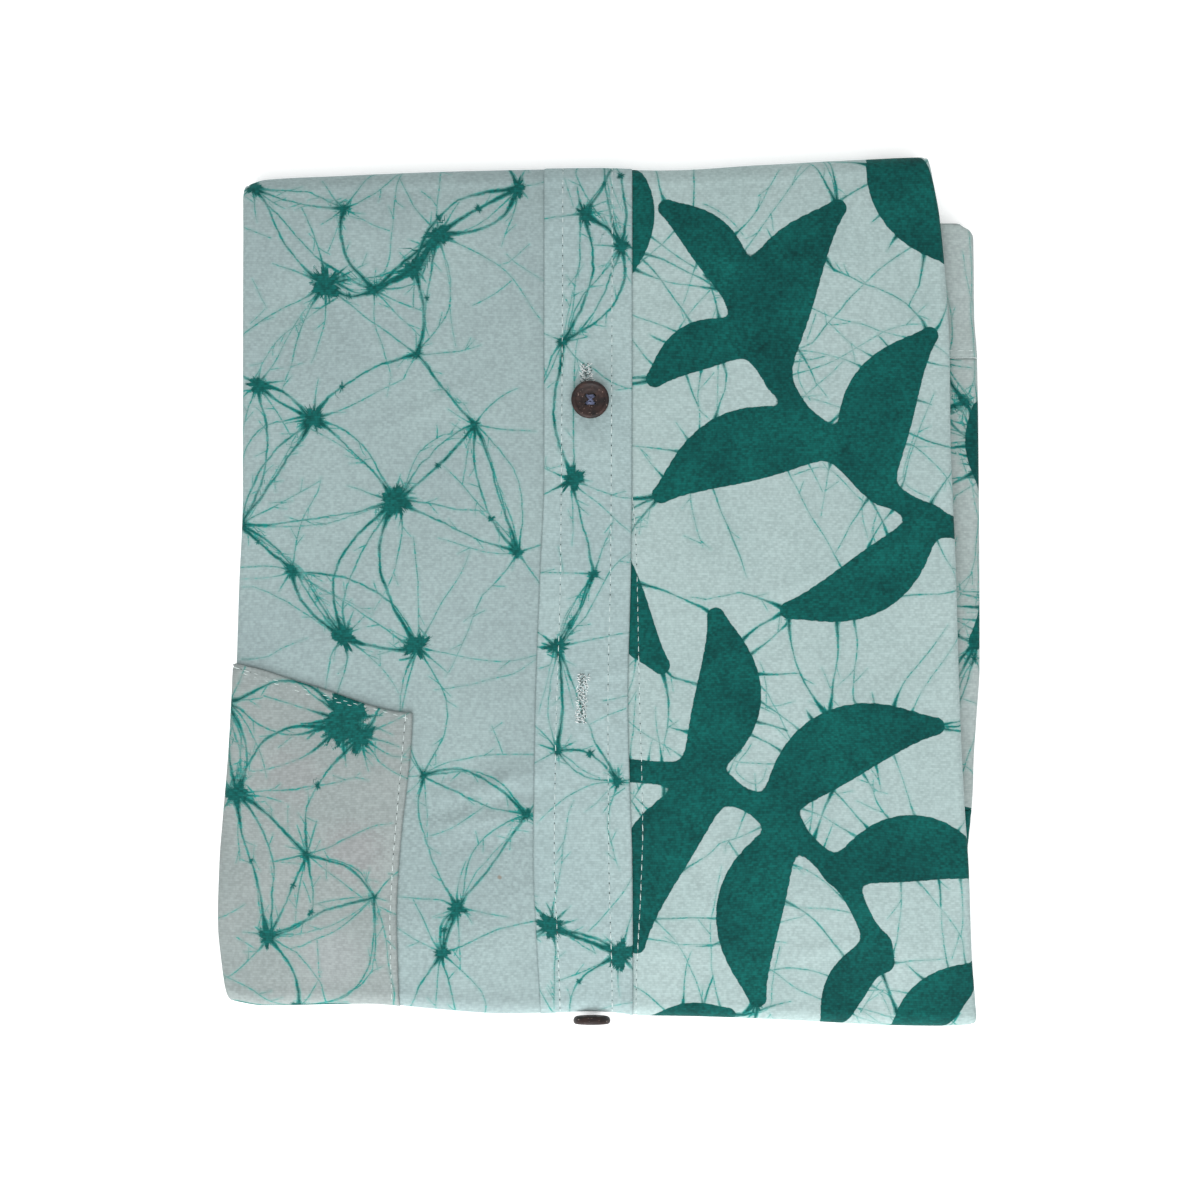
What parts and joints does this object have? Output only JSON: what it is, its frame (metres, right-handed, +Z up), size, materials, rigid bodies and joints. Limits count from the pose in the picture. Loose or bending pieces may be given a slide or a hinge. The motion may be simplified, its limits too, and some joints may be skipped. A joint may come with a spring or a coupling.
{
  "type": "folded batik shirt",
  "caption": "Short-sleeved button-front cotton batik shirt, folded in three and lying flat, with a crackled left front, a pocket, a placket and coconut buttons.",
  "frame": {"origin": "middle of the bounding box's underside, on the surface that the folded shirt lies on", "axes": "+Z up, +Y from the fold at the collar end towards the fold at the tail end, +X towards the wearer's right front"},
  "size_m": [0.2519, 0.2886, 0.0187],
  "materials": {
    "crackled_cotton": "plain-woven cotton, wax-resist dyed, matte, pale grey-green with a green crackle",
    "dyed_cotton": "plain-woven cotton, wax-resist dyed, matte, pale grey-green with large deep green shapes",
    "placket_cotton": "plain-woven cotton band, wax-resist dyed, matte, stitched with off-white thread",
    "pocket_cotton": "plain-woven cotton, wax-resist dyed, matte, stitched with off-white thread",
    "yoke_cotton": "plain-woven cotton, matte, pale grey-green",
    "back_cotton": "plain-woven cotton, wax-resist dyed, matte, pale grey-green with deep green shapes",
    "sleeve_cotton": "plain-woven cotton, dyed deep green, matte",
    "folded_cotton": "plain-woven cotton in folded layers, matte",
    "coconut_shell": "turned coconut shell, dark brown, satin"
  },
  "bodies": {
    "root": {"left_front": "crackled_cotton", "right_front": "dyed_cotton", "placket": "placket_cotton", "pocket": "pocket_cotton", "yoke": "yoke_cotton", "back": "back_cotton", "sleeve": "sleeve_cotton", "hidden_layers": "folded_cotton", "button_upper": "coconut_shell", "button_fold": "coconut_shell"}
  },
  "joints": []
}
